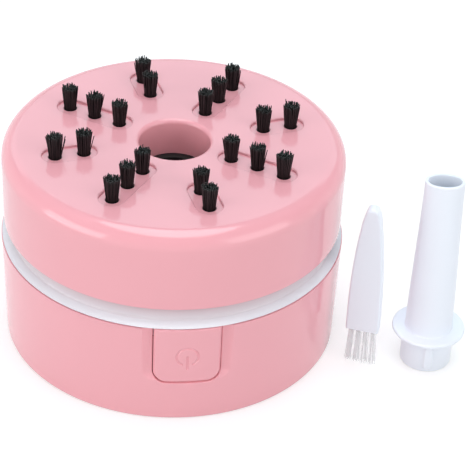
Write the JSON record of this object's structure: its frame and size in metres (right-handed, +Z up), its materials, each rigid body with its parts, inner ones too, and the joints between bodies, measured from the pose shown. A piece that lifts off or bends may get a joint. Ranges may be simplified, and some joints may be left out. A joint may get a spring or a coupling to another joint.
{
  "type": "desktop mini vacuum cleaner",
  "caption": "Round desktop vacuum cleaner, brush face up, with suction port, tufted pull-off head, white band and side power button; crevice nozzle and cleaning brush stand beside it.",
  "frame": {"origin": "on the body's axis, in the plane of the flat face that it stands on with its brush face up", "axes": "+Z up along the body's axis out of the brush face, -Y out of the power button, +X towards the loose nozzle and brush"},
  "size_m": [0.1155, 0.086, 0.0598],
  "materials": {
    "pink_plastic": "glossy moulded plastic, soft pink",
    "white_plastic": "satin moulded plastic, cool white",
    "inner_plastic": "plain moulded plastic, white",
    "black_bristle": "black nylon bristle",
    "clear_bristle": "translucent white nylon bristle",
    "rubber": "black rubber",
    "screw_steel": "zinc-plated steel",
    "motor_steel": "dull plated steel",
    "circuit_board": "green solder resist",
    "black_plastic": "black moulded plastic",
    "cell_sleeve": "shrink sleeve over a metal can, blue",
    "foam": "open-cell foam, dark grey"
  },
  "bodies": {
    "housing": {"motor_housing": "pink_plastic", "switch_body": "black_plastic", "switch_board": "circuit_board", "charge_board": "circuit_board", "charge_socket": "motor_steel", "battery_cell": "cell_sleeve", "battery_clip": "inner_plastic", "clip_screw_1": "screw_steel", "clip_screw_2": "screw_steel", "board_screw_1": "screw_steel", "board_screw_2": "screw_steel", "middle_frame": "white_plastic", "frame_screw_1": "screw_steel", "frame_screw_2": "screw_steel", "frame_screw_3": "screw_steel", "motor_can": "motor_steel", "motor_end_cap": "black_plastic", "motor_screw_1": "screw_steel", "motor_screw_2": "screw_steel", "fan_cover": "inner_plastic", "cover_screw_1": "screw_steel", "cover_screw_2": "screw_steel", "cover_screw_3": "screw_steel", "ring_seal": "rubber"},
    "button": {"power_button": "pink_plastic", "switch_plunger": "inner_plastic"},
    "fan": {"motor_shaft": "screw_steel", "impeller": "inner_plastic"},
    "filter": {"filter_frame": "inner_plastic", "filter_pad": "foam"},
    "head": {"brush_head": "pink_plastic", "port_seal": "rubber", "head_tufts_1": "black_bristle", "head_tufts_2": "black_bristle", "head_tufts_3": "black_bristle", "tuft_retainer": "inner_plastic", "retainer_screw_1": "screw_steel", "retainer_screw_2": "screw_steel", "retainer_screw_3": "screw_steel"},
    "nozzle": {"crevice_nozzle": "white_plastic"},
    "brush": {"brush_handle": "white_plastic", "cleaning_tufts": "clear_bristle"}
  },
  "joints": [
    {"name": "head_pull", "type": "slide", "parent": "housing", "child": "head", "axis": [0, 0, 1], "range_m": [0, 0.03]},
    {"name": "filter_lift", "type": "slide", "parent": "housing", "child": "filter", "axis": [0, 0, 1], "range_m": [0, 0.012]},
    {"name": "button_press", "type": "slide", "parent": "housing", "child": "button", "axis": [0, 1, 0], "range_m": [0, 0.0012], "stiffness_N_per_m": 500},
    {"name": "fan_spin", "type": "hinge", "parent": "housing", "child": "fan", "pos_m": [0, 0, 0.03], "axis": [0, 0, 1], "continuous": true},
    {"name": "nozzle_lift", "type": "slide", "parent": "housing", "child": "nozzle", "axis": [0, 0, 1], "range_m": [0, 0.04]},
    {"name": "brush_lift", "type": "slide", "parent": "housing", "child": "brush", "axis": [0, 0, 1], "range_m": [0, 0.04]}
  ],
  "couplings": [
    {"joint": "filter_lift", "follows": "head_pull", "ratio": 0.4}
  ]
}
